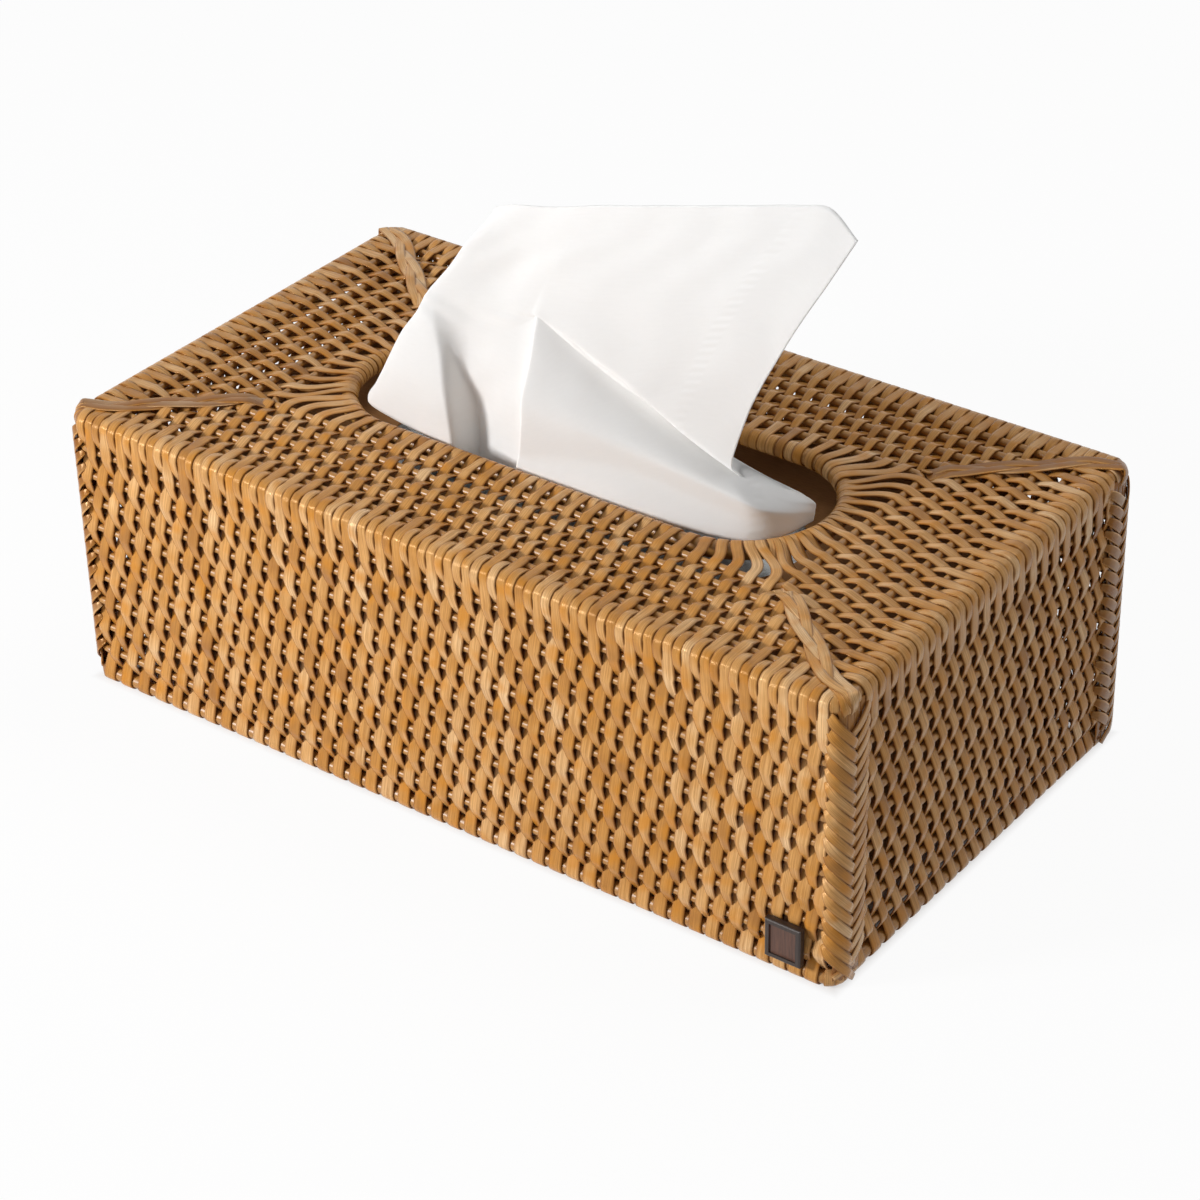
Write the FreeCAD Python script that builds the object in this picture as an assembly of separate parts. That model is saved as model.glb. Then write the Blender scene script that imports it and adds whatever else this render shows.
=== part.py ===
import FreeCAD, Part
import math
import os
from FreeCAD import Vector

# Woven rattan cover for a box of tissues, open below, with an oval opening in its top.
# Rods run round the cover as hoops and split strips are woven over and under them.
# X runs along the cover, the front is at -Y, and Z = 0 is the table that it stands on.

# Outside of the cover
COVER_LENGTH = 260.0
COVER_WIDTH = 147.0
COVER_HEIGHT = 90.0
CORNER_RADIUS = 6.6
OPENING_LENGTH = 151.0
OPENING_WIDTH = 49.0

# Rattan stock
STRIP_THICKNESS = 0.8
BASE_ROD_DIAMETER = 4.0
WALL_ROD_DIAMETER = 2.2
EDGE_ROD_DIAMETER = 4.4
TOP_ROD_DIAMETER = 2.2
RIM_ROD_DIAMETER = 4.8
WALL_ROD_COUNT = 9
TOP_ROD_COUNT = 5
WEAVE_BETWEEN_RODS = 3.0
BASE_FLAT_DEPTH = 0.5
BRAID_WIDTH = 5.0
FAN_THICKNESS = 1.8
FAN_BELOW_TOP = 0.2

# Clearances in the cover
ROD_CLEARANCE = 0.2
PANEL_GAP = 0.4

# Wooden tag on the front wall
TAG_WIDTH = 11.0
TAG_HEIGHT = 12.0
TAG_THICKNESS = 2.0
TAG_BORDER = 1.4
TAG_RECESS = 0.5
TAG_EDGE_ROUND = 0.6
TAG_FROM_CORNER = 8.5
TAG_ABOVE_TABLE = 6.0
GLUE_GAP = 0.1

# Carton of tissues under the cover
CARTON_PLAY = 9.9
CARTON_HEADROOM = 11.6
BOARD_THICKNESS = 0.6
CARTON_SLOT_WIDTH = 44.0
CARTON_SLOT_MARGIN = 8.0
FILM_THICKNESS = 0.3
FILM_LAP = 8.0
FILM_SLIT_WIDTH = 6.0
FILM_SLIT_PLAY = 3.0
STACK_PLAY = 4.0
STACK_HEADROOM = 4.2
STACK_EDGE_ROUND = 9.0

# Tissue pulled up through the opening
TISSUE_THICKNESS = 1.2
TISSUE_TAIL_WIDTH = 114.0
TISSUE_TAIL_GAP = 0.3
TISSUE_LEFT_CLEARANCE = 9.5
TISSUE_RIGHT_CLEARANCE = 2.5
TISSUE_SEAT_GAP = 0.35
TISSUE_RISE = 73.0
TISSUE_DRAW_IN = 46.0
TISSUE_REACH_OUT = 17.0
TISSUE_FOLD_DEPTH = 17.0
TISSUE_BELOW_RIM = 3.0


def wrap_radius(rod_diameter):
    """Outside radius of a strip that goes round a rod."""
    return rod_diameter / 2 + ROD_CLEARANCE + STRIP_THICKNESS


def bore_radius(rod_diameter):
    """Radius of the room that the weave leaves for a rod."""
    return rod_diameter / 2 + ROD_CLEARANCE


# Places of the rods, each as its distance from the outer face and its height
base_inset = wrap_radius(BASE_ROD_DIAMETER)
wall_inset = wrap_radius(WALL_ROD_DIAMETER)
edge_inset = wrap_radius(EDGE_ROD_DIAMETER)
base_z = base_inset - BASE_FLAT_DEPTH
edge_z = COVER_HEIGHT - edge_inset
top_z = COVER_HEIGHT - wrap_radius(TOP_ROD_DIAMETER)
rim_z = COVER_HEIGHT - wrap_radius(RIM_ROD_DIAMETER)
rim_half_length = OPENING_LENGTH / 2 + wrap_radius(RIM_ROD_DIAMETER)
rim_half_width = OPENING_WIDTH / 2 + wrap_radius(RIM_ROD_DIAMETER)
rim_straight = rim_half_length - rim_half_width
edge_half_length = COVER_LENGTH / 2 - edge_inset
edge_half_width = COVER_WIDTH / 2 - edge_inset
pitch_along = (edge_half_length - rim_half_length) / (TOP_ROD_COUNT + 1)
pitch_across = (edge_half_width - rim_half_width) / (TOP_ROD_COUNT + 1)
pitch_up = (edge_z - base_z) / (WALL_ROD_COUNT + 1)
corner_x = COVER_LENGTH / 2 - CORNER_RADIUS
corner_y = COVER_WIDTH / 2 - CORNER_RADIUS

# The top hoops bend under the mitre braids, where the panels on both sides have ended
braid_room = BRAID_WIDTH / 2 + PANEL_GAP
top_bend = braid_room * math.hypot(pitch_along, pitch_across) / max(pitch_along, pitch_across)

# The carton is the room inside the cover less its play
carton_length = COVER_LENGTH - 4 * wall_inset - 2 * CARTON_PLAY
carton_width = COVER_WIDTH - 4 * wall_inset - 2 * CARTON_PLAY
carton_height = COVER_HEIGHT - 2 * edge_inset - CARTON_HEADROOM
film_z = carton_height - BOARD_THICKNESS - FILM_THICKNESS
stack_top = film_z - STACK_HEADROOM


def rounded_wire(half_x, half_y, radius, z):
    """Rectangle with rounded corners about the Z axis, as lines and arcs. The ends may be full half circles."""
    inner_x = half_x - radius
    inner_y = half_y - radius
    slant = radius * math.sqrt(0.5)
    edges = []
    for sx, sy, first_is_y in ((1, -1, True), (1, 1, False), (-1, 1, True), (-1, -1, False)):
        centre = Vector(sx * inner_x, sy * inner_y, z)
        on_y = centre + Vector(0, sy * radius, 0)
        on_x = centre + Vector(sx * radius, 0, 0)
        middle = centre + Vector(sx * slant, sy * slant, 0)
        start, end = (on_y, on_x) if first_is_y else (on_x, on_y)
        if edges:
            last = edges[-1].Vertexes[-1].Point
            if last.distanceToPoint(start) > 1e-6:
                edges.append(Part.LineSegment(last, start).toShape())
        edges.append(Part.Arc(start, middle, end).toShape())
    last = edges[-1].Vertexes[-1].Point
    first = edges[0].Vertexes[0].Point
    if last.distanceToPoint(first) > 1e-6:
        edges.append(Part.LineSegment(last, first).toShape())
    return Part.Wire(edges)


def hoop(half_x, half_y, bend, z, diameter):
    """A rod bent into a closed hoop: a circle carried round a rounded rectangle."""
    path = rounded_wire(half_x, half_y, bend, z)
    start = path.OrderedEdges[0].Vertexes[0].Point
    tangent = path.OrderedEdges[0].tangentAt(path.OrderedEdges[0].FirstParameter)
    circle = Part.Wire(Part.Circle(start, tangent, diameter / 2).toShape())
    return path.makePipeShell([circle], True, False)


def wall_hoop(z, diameter):
    """A hoop in the walls, whose bends share their centres with the cover's outer corners."""
    inset = wrap_radius(diameter)
    return hoop(COVER_LENGTH / 2 - inset, COVER_WIDTH / 2 - inset, CORNER_RADIUS - inset, z, diameter)


def top_hoop(index):
    """A hoop in the top, so many pitches in from the edge rod."""
    half_x = edge_half_length - index * pitch_along
    half_y = edge_half_width - index * pitch_across
    return hoop(half_x, half_y, top_bend, top_z, TOP_ROD_DIAMETER)


def disc(depth, z, radius):
    """A round face across the weave, with depth measured inwards from the outer face."""
    return Part.Face(Part.Wire(Part.Circle(Vector(0, depth, z), Vector(1, 0, 0), radius).toShape()))


def polygon(points):
    """A flat face with straight sides."""
    return Part.Face(Part.makePolygon(points + points[:1]))


def weave_section(rods, depth_end):
    """Section of one side of the weave: it swells round each rod and is thin between rods."""
    half_web = WEAVE_BETWEEN_RODS / 2
    wall_web = polygon([
        Vector(0, wall_inset - half_web, base_z),
        Vector(0, wall_inset + half_web, base_z),
        Vector(0, wall_inset + half_web, edge_z),
        Vector(0, wall_inset - half_web, edge_z),
    ])
    top_web = polygon([
        Vector(0, edge_inset, top_z - half_web),
        Vector(0, depth_end, top_z - half_web),
        Vector(0, depth_end, top_z + half_web),
        Vector(0, edge_inset, top_z + half_web),
    ])
    swells = [disc(depth, z, wrap_radius(diameter)) for depth, z, diameter in rods]
    bores = [disc(depth, z, bore_radius(diameter)) for depth, z, diameter in rods]
    section = wall_web.multiFuse([top_web] + swells).removeSplitter()
    return section.cut(Part.makeCompound(bores))


def cut_at_edge(section, sign):
    """Half of a section on one side of the slant through the edge rod: -1 is the wall, +1 is the top."""
    reach = COVER_HEIGHT + COVER_WIDTH
    along = Vector(0, -1, 1).normalize()
    away = Vector(0, sign, sign).normalize()
    start = Vector(0, edge_inset, edge_z) + away * (PANEL_GAP / 2)
    half = polygon([
        start - along * reach,
        start + along * reach,
        start + along * reach + away * reach,
        start - along * reach + away * reach,
    ])
    above_table = polygon([
        Vector(0, -reach, 0),
        Vector(0, reach, 0),
        Vector(0, reach, reach),
        Vector(0, -reach, reach),
    ])
    return section.common(half).common(above_table)


def side_rods(pitch, has_rim, outer_width):
    """Depth, height and diameter of each rod on one side, from the table up and then inwards."""
    rods = [(base_inset, base_z, BASE_ROD_DIAMETER)]
    for index in range(1, WALL_ROD_COUNT + 1):
        rods.append((wall_inset, base_z + index * pitch_up, WALL_ROD_DIAMETER))
    rods.append((edge_inset, edge_z, EDGE_ROD_DIAMETER))
    for index in range(1, TOP_ROD_COUNT + 1):
        rods.append((edge_inset + index * pitch, top_z, TOP_ROD_DIAMETER))
    if has_rim:
        rods.append((outer_width / 2 - rim_half_width, rim_z, RIM_ROD_DIAMETER))
    return rods


def extrude_across(section, half_span):
    """Carry a section along X over the same span to both sides."""
    moved = section.copy()
    moved.translate(Vector(-half_span, 0, 0))
    return moved.extrude(Vector(2 * half_span, 0, 0))


def mitre_point(steps):
    """Point of the front right mitre, so many pitches in from the edge rod's corner."""
    return Vector(edge_half_length - steps * pitch_along, -(edge_half_width - steps * pitch_across), 0)


def mitre_line(towards_front):
    """A point and a direction of the mitre's near border, on the front panel's side or the end panel's."""
    direction = (mitre_point(1) - mitre_point(0)).normalize()
    across = Vector(-direction.y, direction.x, 0)
    sign = 1 if towards_front else -1
    return mitre_point(0) + across * (sign * braid_room), direction


def plan_prism(points):
    """Upright prism over a plan outline, taller than the cover."""
    return polygon(points).extrude(Vector(0, 0, 2 * COVER_HEIGHT))


def front_panels():
    """Wall and top panels of the front, woven round the hoops' straight runs."""
    rods = side_rods(pitch_across, True, COVER_WIDTH)
    section = weave_section(rods, COVER_WIDTH / 2 - rim_half_width)
    wall = extrude_across(cut_at_edge(section, -1), corner_x - PANEL_GAP)
    top = extrude_across(cut_at_edge(section, 1), corner_x - PANEL_GAP)
    for panel in (wall, top):
        panel.translate(Vector(0, -COVER_WIDTH / 2, 0))
    point, direction = mitre_line(True)
    outer_x = corner_x - PANEL_GAP
    inner_y = -(edge_half_width - TOP_ROD_COUNT * pitch_across - wrap_radius(TOP_ROD_DIAMETER))
    at_corner = point + direction * ((outer_x - point.x) / direction.x)
    at_last_hoop = point + direction * ((inner_y - point.y) / direction.y)
    rim_x = rim_straight - PANEL_GAP
    right = [
        Vector(outer_x, -COVER_WIDTH, 0),
        Vector(outer_x, at_corner.y, 0),
        Vector(at_last_hoop.x, inner_y, 0),
        Vector(rim_x, inner_y, 0),
        Vector(rim_x, 0, 0),
    ]
    left = [Vector(-p.x, p.y, 0) for p in reversed(right)]
    return wall, top.common(plan_prism(right + left))


def right_panels():
    """Wall and top panels of the right end, made lying like the front and then turned."""
    rods = side_rods(pitch_along, False, COVER_LENGTH)
    last_depth = edge_inset + TOP_ROD_COUNT * pitch_along
    section = weave_section(rods, last_depth)
    wall = extrude_across(cut_at_edge(section, -1), corner_y - PANEL_GAP)
    top = extrude_across(cut_at_edge(section, 1), corner_y - PANEL_GAP)
    for panel in (wall, top):
        panel.translate(Vector(0, -COVER_LENGTH / 2, 0))
        panel.rotate(Vector(0, 0, 0), Vector(0, 0, 1), 90)
    point, direction = mitre_line(False)
    outer_y = -(corner_y - PANEL_GAP)
    inner_x = edge_half_length - TOP_ROD_COUNT * pitch_along - wrap_radius(TOP_ROD_DIAMETER)
    at_corner = point + direction * ((outer_y - point.y) / direction.y)
    at_last_hoop = point + direction * ((inner_x - point.x) / direction.x)
    front = [
        Vector(COVER_LENGTH, outer_y, 0),
        Vector(at_corner.x, outer_y, 0),
        Vector(inner_x, at_last_hoop.y, 0),
    ]
    back = [Vector(p.x, -p.y, 0) for p in reversed(front)]
    return wall, top.common(plan_prism(front + back))


def corner_plait():
    """Lacing over the hoops' bends at the front right corner: a quarter of a thin tube."""
    height = edge_z - edge_inset - PANEL_GAP
    centre = Vector(corner_x, -corner_y, 0)
    down = Vector(0, 0, 1)
    outer = Part.makeCylinder(CORNER_RADIUS, height, centre, down, 90)
    inner = Part.makeCylinder(CORNER_RADIUS - STRIP_THICKNESS, height, centre, down, 90)
    plait = outer.cut(inner)
    plait.rotate(centre, down, -90)
    return plait


def tube_bend(centre, bend, z, diameter, angle):
    """Wraps round a bent stretch of rod: a ring section turned about an upright axis."""
    axis = Vector(0, 0, 1)
    at = centre + Vector(0, -bend, z)
    rings = [Part.Wire(Part.Circle(at, Vector(1, 0, 0), radius).toShape())
             for radius in (wrap_radius(diameter), bore_radius(diameter))]
    section = Part.Face(rings[0]).cut(Part.Face(rings[1]))
    return section.revolve(centre, axis, angle)


def corner_cap():
    """Wraps round the edge rod's bend at the front right corner."""
    centre = Vector(corner_x, -corner_y, 0)
    return tube_bend(centre, CORNER_RADIUS - edge_inset, edge_z, EDGE_ROD_DIAMETER, 90)


def mitre_braid():
    """Flat braid that lies on the hoops' bends along the front right mitre."""
    start = mitre_point(1)
    end = mitre_point(TOP_ROD_COUNT)
    direction = (end - start).normalize()
    across = Vector(-direction.y, direction.x, 0) * (BRAID_WIDTH / 2)
    outline = polygon([start - across, start + across, end + across, end - across])
    outline.translate(Vector(0, 0, COVER_HEIGHT - STRIP_THICKNESS))
    return outline.extrude(Vector(0, 0, STRIP_THICKNESS))


def rim_wrap():
    """Fan of wraps round the right end of the opening: a bent tube with a flat fan out to the last hoop."""
    centre = Vector(rim_straight, 0, 0)
    tube = tube_bend(centre, rim_half_width, rim_z, RIM_ROD_DIAMETER, 180)
    reach_x = edge_half_length - TOP_ROD_COUNT * pitch_along - wrap_radius(TOP_ROD_DIAMETER) - PANEL_GAP
    reach_y = edge_half_width - TOP_ROD_COUNT * pitch_across - wrap_radius(TOP_ROD_DIAMETER) - PANEL_GAP
    fan_z = COVER_HEIGHT - FAN_BELOW_TOP - FAN_THICKNESS
    fan_start = Vector(rim_straight, -reach_y, fan_z)
    fan = Part.makeBox(reach_x - rim_straight, 2 * reach_y, FAN_THICKNESS, fan_start)
    hole = Part.makeCylinder(rim_half_width, FAN_THICKNESS, Vector(rim_straight, 0, fan_z))
    room = Part.makeTorus(rim_half_width, bore_radius(RIM_ROD_DIAMETER), centre + Vector(0, 0, rim_z))
    return tube.fuse(fan.cut(hole)).cut(room).removeSplitter()


def tag():
    """Small wooden tile, with a plain sunk panel inside its border, glued on the front wall."""
    left = corner_x - TAG_FROM_CORNER - TAG_WIDTH / 2
    front = -COVER_WIDTH / 2 - GLUE_GAP - TAG_THICKNESS
    tile = Part.makeBox(TAG_WIDTH, TAG_THICKNESS, TAG_HEIGHT, Vector(left, front, TAG_ABOVE_TABLE))
    upright = [edge for edge in tile.Edges if edge.Vertexes[0].Point.y < front + GLUE_GAP
               and edge.Vertexes[-1].Point.y < front + GLUE_GAP]
    tile = tile.makeFillet(TAG_EDGE_ROUND, upright)
    corner = Vector(left + TAG_BORDER, front, TAG_ABOVE_TABLE + TAG_BORDER)
    panel = Part.makeBox(TAG_WIDTH - 2 * TAG_BORDER, TAG_RECESS, TAG_HEIGHT - 2 * TAG_BORDER, corner)
    return tile.cut(panel)


def oval_prism(length, width, z, height):
    """Upright prism with straight sides and round ends."""
    outline = rounded_wire(length / 2, width / 2, width / 2, z)
    return Part.Face(outline).extrude(Vector(0, 0, height))


def carton():
    """Folded board carton with an oval slot in its top."""
    base = Vector(-carton_length / 2, -carton_width / 2, 0)
    wall = Vector(BOARD_THICKNESS, BOARD_THICKNESS, BOARD_THICKNESS)
    box = Part.makeBox(carton_length, carton_width, carton_height, base)
    room = Part.makeBox(carton_length - 2 * BOARD_THICKNESS, carton_width - 2 * BOARD_THICKNESS,
                        carton_height - 2 * BOARD_THICKNESS, base + wall)
    slot_length = TISSUE_TAIL_WIDTH + 2 * FILM_SLIT_PLAY + 2 * CARTON_SLOT_MARGIN
    slot = oval_prism(slot_length, CARTON_SLOT_WIDTH, film_z, carton_height)
    return box.cut(room).cut(slot)


def carton_film():
    """Clear film under the carton's slot, with a slit that holds the tissue."""
    slit_length = TISSUE_TAIL_WIDTH + 2 * FILM_SLIT_PLAY
    length = slit_length + 2 * CARTON_SLOT_MARGIN + 2 * FILM_LAP
    width = CARTON_SLOT_WIDTH + 2 * FILM_LAP
    sheet = Part.makeBox(length, width, FILM_THICKNESS, Vector(-length / 2, -width / 2, film_z))
    return sheet.cut(oval_prism(slit_length, FILM_SLIT_WIDTH, film_z, FILM_THICKNESS))


def tissue_stack():
    """Block of folded tissues on the carton's floor, with its folds along the long sides."""
    length = carton_length - 2 * BOARD_THICKNESS - 2 * STACK_PLAY
    width = carton_width - 2 * BOARD_THICKNESS - 2 * STACK_PLAY
    height = stack_top - BOARD_THICKNESS
    block = Part.makeBox(length, width, height, Vector(-length / 2, -width / 2, BOARD_THICKNESS))
    folds = [edge for edge in block.Edges if edge.BoundBox.XLength > length / 2]
    return block.makeFillet(STACK_EDGE_ROUND, folds)


def tissue_row(z_middle, slope, left, right, middle, folds):
    """Closed outline of the sheet at one level: its folds from left to right, then its other face."""
    fold_shares = (0.0, 0.11, 0.27, 0.40, 0.65, 0.89, 1.0)
    front = []
    for share, fold in zip(fold_shares, folds):
        x = left + (right - left) * share
        front.append(Vector(x, middle + fold * TISSUE_FOLD_DEPTH, z_middle + slope * x))
    back = [point + Vector(0, TISSUE_THICKNESS, 0) for point in reversed(front)]
    return Part.makePolygon(front + back + front[:1])


def tissue_level(rise, slope, draw_in, reach_out, folds):
    """Row of the sheet above the cover, with its height and its ends as shares of the sheet's own sizes."""
    left = -(OPENING_LENGTH / 2 - TISSUE_LEFT_CLEARANCE) + draw_in * TISSUE_DRAW_IN
    right = OPENING_LENGTH / 2 - TISSUE_RIGHT_CLEARANCE + reach_out * TISSUE_REACH_OUT
    return tissue_row(COVER_HEIGHT + rise * TISSUE_RISE, slope, left, right, 0, folds)


def pulled_tissue():
    """Sheet drawn up through the opening: flat in the slit, folded on the front rim, leaning right."""
    tail = TISSUE_TAIL_WIDTH / 2
    flat = [0] * 7
    left = -(OPENING_LENGTH / 2 - TISSUE_LEFT_CLEARANCE)
    right = OPENING_LENGTH / 2 - TISSUE_RIGHT_CLEARANCE
    seat = (wrap_radius(RIM_ROD_DIAMETER) + TISSUE_SEAT_GAP) * math.sqrt(0.5)
    below_z = rim_z - TISSUE_BELOW_RIM
    below_left = left + 0.09 * TISSUE_DRAW_IN
    below_right = right - 0.41 * TISSUE_REACH_OUT
    rows = [
        tissue_row(stack_top + TISSUE_TAIL_GAP, 0, -tail, tail, -TISSUE_THICKNESS / 2, flat),
        tissue_row(carton_height + BOARD_THICKNESS, 0, -tail, tail, -TISSUE_THICKNESS / 2, flat),
        tissue_row(below_z, 0, below_left, below_right, 0, (-0.47, -0.71, -0.18, -0.71, -0.76, -0.59, -0.12)),
        tissue_row(rim_z + seat, 0, left, right, seat - rim_half_width, (0.47, 0, 1, 0, 0, 0.06, 1.37)),
        tissue_level(0.19, 0, 0.17, -0.88, (-0.82, -1, -0.18, -0.71, -0.94, -0.76, -0.53)),
        tissue_level(0.49, 0.06, 0.39, -0.35, (-0.59, -0.88, -0.29, -0.53, -0.76, -0.82, -0.59)),
        tissue_level(0.78, 0.16, 0.72, 0.35, (-0.53, -0.76, -0.35, -0.47, -0.71, -0.76, -0.53)),
        tissue_level(1, 0.235, 1, 1, (-0.47, -0.65, -0.35, -0.47, -0.65, -0.71, -0.47)),
    ]
    return Part.makeLoft(rows, True, True)


def turned(shape):
    """Half a turn about the upright axis, to the opposite side or corner."""
    copy = shape.copy()
    copy.rotate(Vector(0, 0, 0), Vector(0, 0, 1), 180)
    return copy


def at_four_corners(name, shape):
    """A piece made at the front right corner, and its like at the other three."""
    other = shape.mirror(Vector(0, 0, 0), Vector(1, 0, 0))
    return {
        name + "_front_right": shape,
        name + "_back_left": turned(shape),
        name + "_front_left": other,
        name + "_back_right": turned(other),
    }


nodes = {"base_rod": wall_hoop(base_z, BASE_ROD_DIAMETER)}
for index in range(1, WALL_ROD_COUNT + 1):
    nodes[f"wall_rod_{index}"] = wall_hoop(base_z + index * pitch_up, WALL_ROD_DIAMETER)
nodes["edge_rod"] = wall_hoop(edge_z, EDGE_ROD_DIAMETER)
for index in range(1, TOP_ROD_COUNT + 1):
    nodes[f"top_rod_{index}"] = top_hoop(index)
nodes["rim_rod"] = hoop(rim_half_length, rim_half_width, rim_half_width, rim_z, RIM_ROD_DIAMETER)

front_wall, front_top = front_panels()
right_wall, right_top = right_panels()
nodes["front_wall_weave"] = front_wall
nodes["front_top_weave"] = front_top
nodes["back_wall_weave"] = turned(front_wall)
nodes["back_top_weave"] = turned(front_top)
nodes["right_wall_weave"] = right_wall
nodes["right_top_weave"] = right_top
nodes["left_wall_weave"] = turned(right_wall)
nodes["left_top_weave"] = turned(right_top)

nodes.update(at_four_corners("corner_plait", corner_plait()))
nodes.update(at_four_corners("corner_cap", corner_cap()))
nodes.update(at_four_corners("mitre_braid", mitre_braid()))
right_wrap = rim_wrap()
nodes["rim_wrap_right"] = right_wrap
nodes["rim_wrap_left"] = turned(right_wrap)
nodes["tag"] = tag()
nodes["carton"] = carton()
nodes["carton_film"] = carton_film()
nodes["tissue_stack"] = tissue_stack()
nodes["pulled_tissue"] = pulled_tissue()

os.makedirs("parts", exist_ok=True)
for name, shape in nodes.items():
    solids = shape.Solids
    whole = solids[0] if len(solids) == 1 else Part.makeCompound(solids)
    whole.exportStep(f"parts/{name}.step")
    print(name, len(solids), "solid", "valid" if whole.isValid() else "NOT VALID", round(whole.Volume, 1))
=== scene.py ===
import math

import bpy
import numpy as np
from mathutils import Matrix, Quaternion, Vector


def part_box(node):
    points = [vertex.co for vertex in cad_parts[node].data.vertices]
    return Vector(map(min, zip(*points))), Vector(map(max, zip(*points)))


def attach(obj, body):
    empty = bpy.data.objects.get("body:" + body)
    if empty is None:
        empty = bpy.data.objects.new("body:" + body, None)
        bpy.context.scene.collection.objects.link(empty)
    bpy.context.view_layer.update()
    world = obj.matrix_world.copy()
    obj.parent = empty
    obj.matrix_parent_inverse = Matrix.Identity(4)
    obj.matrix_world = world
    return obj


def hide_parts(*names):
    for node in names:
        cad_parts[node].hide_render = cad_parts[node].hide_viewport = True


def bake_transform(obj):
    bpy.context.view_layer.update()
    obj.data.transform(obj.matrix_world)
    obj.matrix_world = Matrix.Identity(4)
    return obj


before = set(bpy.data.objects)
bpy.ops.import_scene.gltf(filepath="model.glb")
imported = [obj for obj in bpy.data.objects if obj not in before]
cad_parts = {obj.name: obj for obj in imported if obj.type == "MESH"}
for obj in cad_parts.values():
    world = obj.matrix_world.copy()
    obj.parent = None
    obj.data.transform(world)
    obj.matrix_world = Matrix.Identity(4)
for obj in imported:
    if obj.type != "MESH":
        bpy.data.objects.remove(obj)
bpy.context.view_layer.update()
MM = 0.001


# Carton
# A plain folded carton of brown kraft board, creased and glued, with an oval slot in its top.
# It stands on the table and the cover is dropped over it.

def srgb(hex_code):
    """Linear colour of an sRGB hex code. A dark channel is divided by 12.92. Any other has 0.055 added, is
    divided by 1.055 and is raised to the power 2.4."""
    channels = [int(hex_code[start:start + 2], 16) / 255 for start in (1, 3, 5)]
    return [c / 12.92 if c < 0.04045 else ((c + 0.055) / 1.055) ** 2.4 for c in channels] + [1.0]


def add_node(tree, kind, inputs=None, **settings):
    """Add a shader node with its settings. A socket takes a plain value or another node's output."""
    node = tree.nodes.new(kind)
    for name, value in settings.items():
        setattr(node, name, value)
    for socket, value in (inputs or {}).items():
        if isinstance(value, bpy.types.NodeSocket):
            tree.links.new(value, node.inputs[socket])
        else:
            node.inputs[socket].default_value = value
    return node


def mixed(tree, share, first, second):
    """The first colour, going over to the second as the share goes from 0 to 1."""
    return add_node(tree, "ShaderNodeMix", {0: share, 6: first, 7: second}, data_type="RGBA").outputs[2]


def streaks(tree, place, sizes, detail):
    """Noise whose patches are about as large as the sizes along the three axes of a place."""
    stretch = add_node(tree, "ShaderNodeMapping", {
        "Vector": place, "Scale": tuple(1 / size for size in sizes)})
    return add_node(tree, "ShaderNodeTexNoise", {
        "Vector": stretch.outputs[0], "Scale": 1.0, "Detail": detail}).outputs["Fac"]


def emboss(tree, shader, height, strength, depth):
    """Let a height stand out of the surface in bumps of this depth."""
    relief = add_node(tree, "ShaderNodeBump", {"Height": height, "Strength": strength, "Distance": depth})
    tree.links.new(relief.outputs[0], shader.inputs["Normal"])


def new_material(name):
    """A material with its own tree, and its surface shader."""
    material = bpy.data.materials.new(name)
    material.use_nodes = True
    return material, material.node_tree, material.node_tree.nodes["Principled BSDF"]


def dress(node_name, material):
    """Give a piece of the frame its finish."""
    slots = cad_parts[node_name].data.materials
    slots.clear()
    slots.append(material)


def kraft_board():
    """Unbleached board: matt brown, with short darker fibres about 3 mm long pressed into the sheet."""
    fibre_sizes = (3 * MM, 0.5 * MM, 0.5 * MM)
    material, tree, shader = new_material("kraft_board")
    place = add_node(tree, "ShaderNodeTexCoord").outputs["Object"]
    fibres = streaks(tree, place, fibre_sizes, 4.0)
    colour = mixed(tree, fibres, srgb("#8A5A2E"), srgb("#B58450"))
    tree.links.new(colour, shader.inputs["Base Color"])
    emboss(tree, shader, fibres, 0.2, 0.1 * MM)
    shader.inputs["Roughness"].default_value = 0.85
    return material


dress("carton", kraft_board())


# Film under the slot
# A sheet of clear polyethylene glued inside the carton's top, with a slit that holds the tissue up.

def clear_film():
    """Soft plastic film: see-through, with a dull shine that its faint waves, about 12 mm apart, break
    up."""
    wave_length = 12 * MM
    material, tree, shader = new_material("polyethylene_film")
    place = add_node(tree, "ShaderNodeTexCoord").outputs["Object"]
    waves = add_node(tree, "ShaderNodeTexNoise", {"Vector": place, "Scale": 1 / wave_length})
    emboss(tree, shader, waves.outputs["Fac"], 0.3, 0.5 * MM)
    shader.inputs["Base Color"].default_value = srgb("#E9EDEE")
    shader.inputs["Roughness"].default_value = 0.2
    shader.inputs["IOR"].default_value = 1.51
    shader.inputs["Transmission Weight"].default_value = 0.9
    return material


dress("carton_film", clear_film())


# Stack of tissues
# Thin paper tissues, each folded and laid into the fold of the last, so that soft folds show along both long
# sides. They lie loose on the carton's floor.

FOLD_HEIGHT = 1.5 * MM
FOLD_DEPTH = 1.2 * MM
FOLD_POINTS = 6
FOLD_WANDER = 0.6 * MM
STACK_EDGE_ROUND = 9 * MM
STACK_STEPS = 14


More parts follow.
